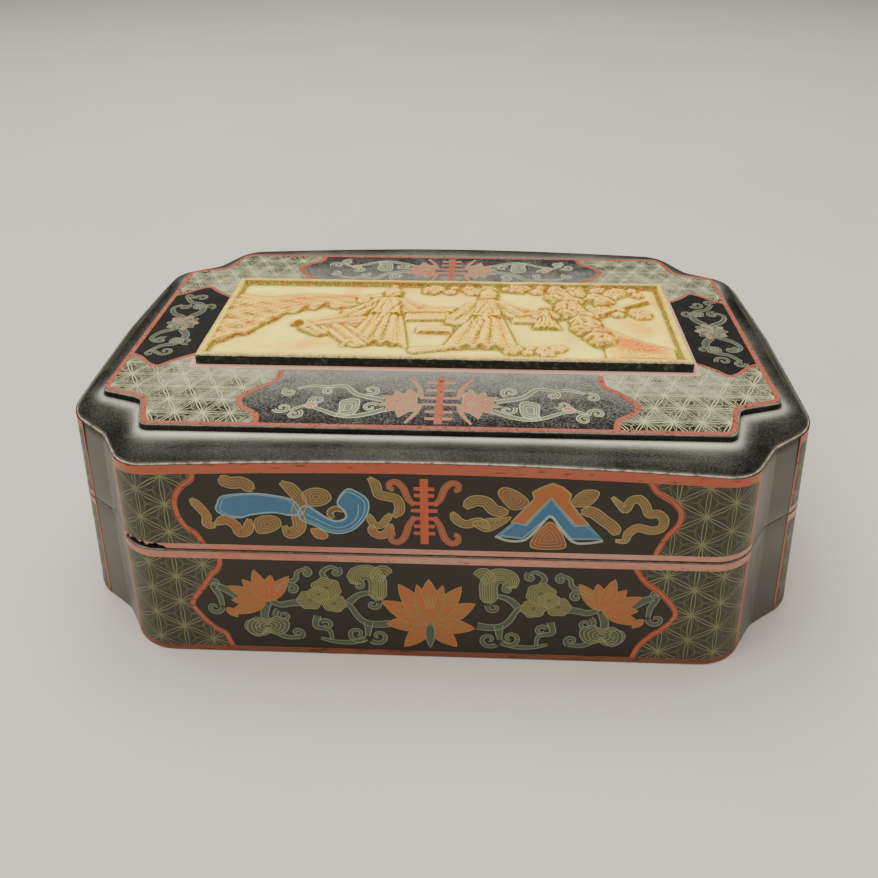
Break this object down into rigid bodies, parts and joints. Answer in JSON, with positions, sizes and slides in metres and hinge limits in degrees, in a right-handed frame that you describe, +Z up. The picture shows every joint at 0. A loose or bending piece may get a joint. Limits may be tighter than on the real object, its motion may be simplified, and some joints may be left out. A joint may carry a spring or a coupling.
{
  "type": "lidded lacquer box with carved plaque",
  "caption": "Oblong lidded box with notched, lobed corners; a lift-off lid with a sloped shoulder, a raised stepped panel and a carved figure plaque on top.",
  "frame": {"origin": "middle of the box's flat underside", "axes": "+X along the box's length, -Y towards the front face, +Z up"},
  "size_m": [0.29, 0.197, 0.0968],
  "materials": {
    "lacquered_wood": "black-brown lacquer, painted, satin, worn",
    "carved_pale_stone": "pale carved stone, waxed, semi-gloss"
  },
  "bodies": {
    "root": {"box_base": "lacquered_wood", "lid": "lacquered_wood", "carved_plaque": "carved_pale_stone"}
  },
  "joints": []
}
